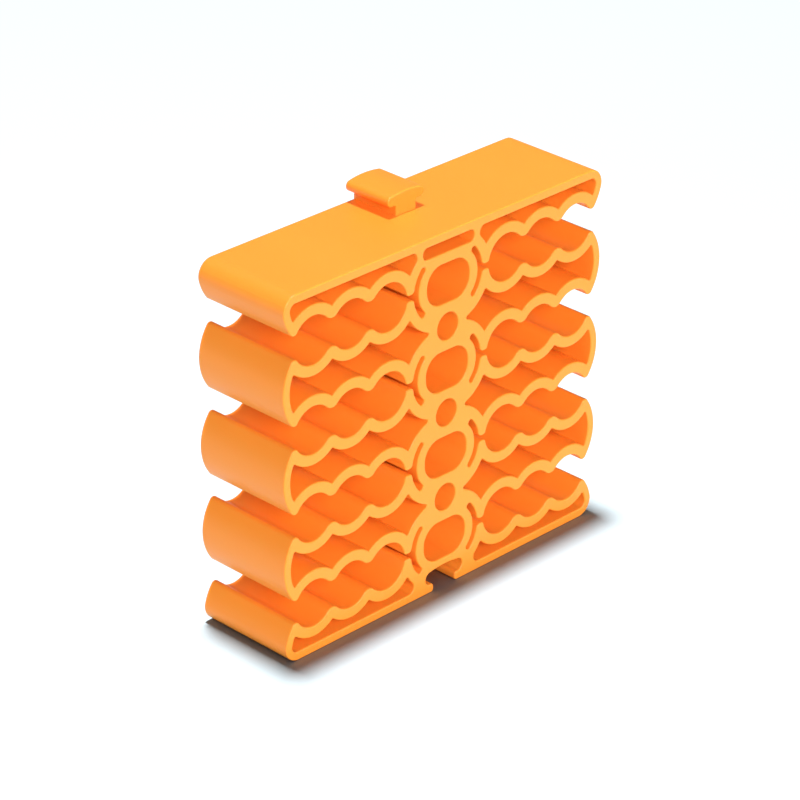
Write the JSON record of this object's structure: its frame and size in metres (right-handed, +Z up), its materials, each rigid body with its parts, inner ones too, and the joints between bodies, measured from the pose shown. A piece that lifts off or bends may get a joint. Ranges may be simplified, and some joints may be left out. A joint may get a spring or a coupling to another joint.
{
  "type": "stackable cable holder block",
  "caption": "Stackable one-piece plastic block with rows of side-opening cable pockets, oval openings, screw holes, a hook on top and a matching groove below.",
  "frame": {"origin": "middle of the flat underside", "axes": "+X across the block to the right-hand slots, +Y to the back along the slots, +Z up to the hook"},
  "size_m": [0.07, 0.0186, 0.0662],
  "materials": {
    "orange_plastic": "satin"
  },
  "bodies": {
    "block": {"ring_1": "orange_plastic", "ring_2": "orange_plastic", "ring_3": "orange_plastic", "ring_4": "orange_plastic", "screw_web_1": "orange_plastic", "screw_web_2": "orange_plastic", "screw_web_3": "orange_plastic", "top_plate": "orange_plastic", "top_bridge": "orange_plastic", "base_bridge": "orange_plastic", "right_base_plate": "orange_plastic", "left_base_plate": "orange_plastic", "right_top_jaw": "orange_plastic", "right_top_end": "orange_plastic", "right_base_jaw": "orange_plastic", "right_base_end": "orange_plastic", "left_top_jaw": "orange_plastic", "left_top_end": "orange_plastic", "left_base_jaw": "orange_plastic", "left_base_end": "orange_plastic", "coupling_hook": "orange_plastic"},
    "right_arm_1": {"right_arm_1_root": "orange_plastic", "right_arm_1_upper_jaw": "orange_plastic", "right_arm_1_lower_jaw": "orange_plastic", "right_arm_1_end": "orange_plastic"},
    "right_arm_2": {"right_arm_2_root": "orange_plastic", "right_arm_2_upper_jaw": "orange_plastic", "right_arm_2_lower_jaw": "orange_plastic", "right_arm_2_end": "orange_plastic"},
    "right_arm_3": {"right_arm_3_root": "orange_plastic", "right_arm_3_upper_jaw": "orange_plastic", "right_arm_3_lower_jaw": "orange_plastic", "right_arm_3_end": "orange_plastic"},
    "left_arm_1": {"left_arm_1_root": "orange_plastic", "left_arm_1_upper_jaw": "orange_plastic", "left_arm_1_lower_jaw": "orange_plastic", "left_arm_1_end": "orange_plastic"},
    "left_arm_2": {"left_arm_2_root": "orange_plastic", "left_arm_2_upper_jaw": "orange_plastic", "left_arm_2_lower_jaw": "orange_plastic", "left_arm_2_end": "orange_plastic"},
    "left_arm_3": {"left_arm_3_root": "orange_plastic", "left_arm_3_upper_jaw": "orange_plastic", "left_arm_3_lower_jaw": "orange_plastic", "left_arm_3_end": "orange_plastic"}
  },
  "joints": [
    {"name": "right_arm_1_flex", "type": "hinge", "parent": "block", "child": "right_arm_1", "pos_m": [0.0072, 0, 0.0462], "axis": [0, -1, 0], "range_deg": [-3.5, 3.5], "stiffness_Nm_per_rad": 2},
    {"name": "right_arm_2_flex", "type": "hinge", "parent": "block", "child": "right_arm_2", "pos_m": [0.0072, 0, 0.0312], "axis": [0, -1, 0], "range_deg": [-3.5, 3.5], "stiffness_Nm_per_rad": 2},
    {"name": "right_arm_3_flex", "type": "hinge", "parent": "block", "child": "right_arm_3", "pos_m": [0.0072, 0, 0.0162], "axis": [0, -1, 0], "range_deg": [-3.5, 3.5], "stiffness_Nm_per_rad": 2},
    {"name": "left_arm_1_flex", "type": "hinge", "parent": "block", "child": "left_arm_1", "pos_m": [-0.0072, 0, 0.0462], "axis": [0, 1, 0], "range_deg": [-3.5, 3.5], "stiffness_Nm_per_rad": 2},
    {"name": "left_arm_2_flex", "type": "hinge", "parent": "block", "child": "left_arm_2", "pos_m": [-0.0072, 0, 0.0312], "axis": [0, 1, 0], "range_deg": [-3.5, 3.5], "stiffness_Nm_per_rad": 2},
    {"name": "left_arm_3_flex", "type": "hinge", "parent": "block", "child": "left_arm_3", "pos_m": [-0.0072, 0, 0.0162], "axis": [0, 1, 0], "range_deg": [-3.5, 3.5], "stiffness_Nm_per_rad": 2}
  ]
}
